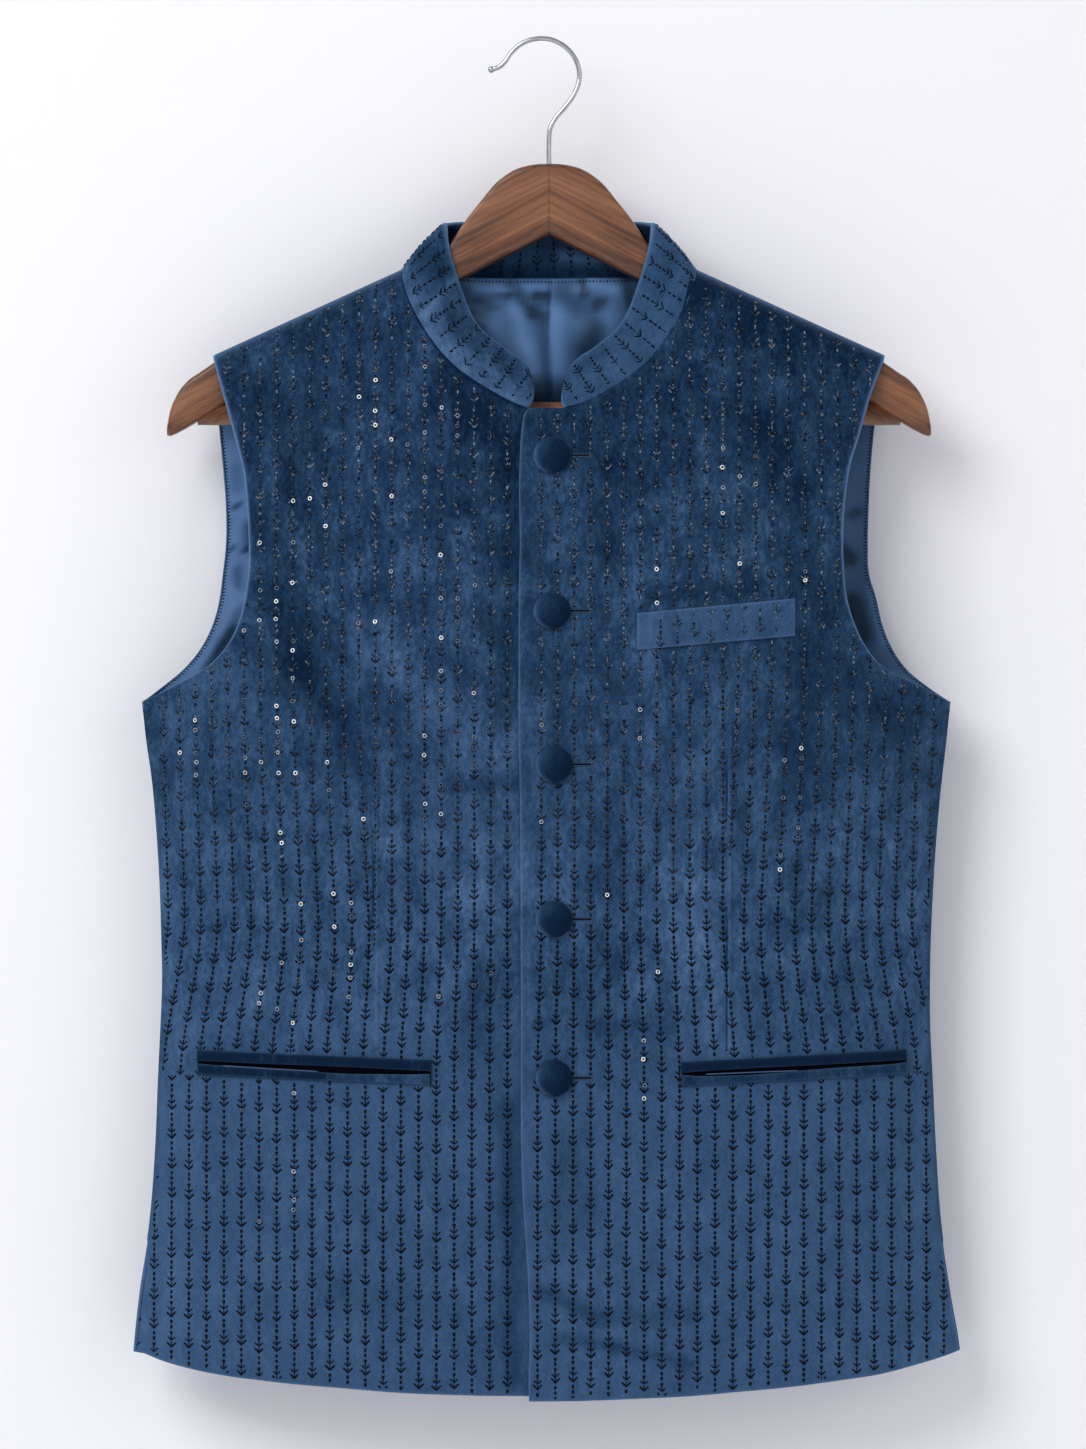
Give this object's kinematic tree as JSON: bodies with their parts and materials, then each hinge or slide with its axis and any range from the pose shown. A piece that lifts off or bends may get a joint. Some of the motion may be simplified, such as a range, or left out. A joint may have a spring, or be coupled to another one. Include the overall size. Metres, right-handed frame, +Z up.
{
  "type": "sleeveless velvet jacket on a hanger",
  "caption": "Sleeveless velvet jacket with a band collar, covered buttons and welt pockets, hanging flat on a wooden suit hanger with a wire hook.",
  "frame": {"origin": "inside top of the hanger's hook, where a rail carries it", "axes": "+Z up, -Y out of the jacket's front, +X to the right of someone who looks at its front"},
  "size_m": [0.4973, 0.0754, 0.8175],
  "materials": {
    "velvet": "deep pile with a bluish sheen",
    "velvet_dark": "pile pulled tight over buttons",
    "satin": "smooth satin",
    "wood": "satin varnish",
    "steel": "polished wire"
  },
  "bodies": {
    "root": {"front_right": "velvet", "front_left": "velvet", "back": "velvet", "back_lining": "satin", "collar": "velvet", "chest_pocket_welt": "velvet", "hip_pocket_right_upper": "velvet", "hip_pocket_right_lower": "velvet", "hip_pocket_left_upper": "velvet", "hip_pocket_left_lower": "velvet", "button_1": "velvet_dark", "button_2": "velvet_dark", "button_3": "velvet_dark", "button_4": "velvet_dark", "button_5": "velvet_dark", "hanger_body": "wood", "hanger_bar": "wood", "hanger_hook": "steel"}
  },
  "joints": []
}
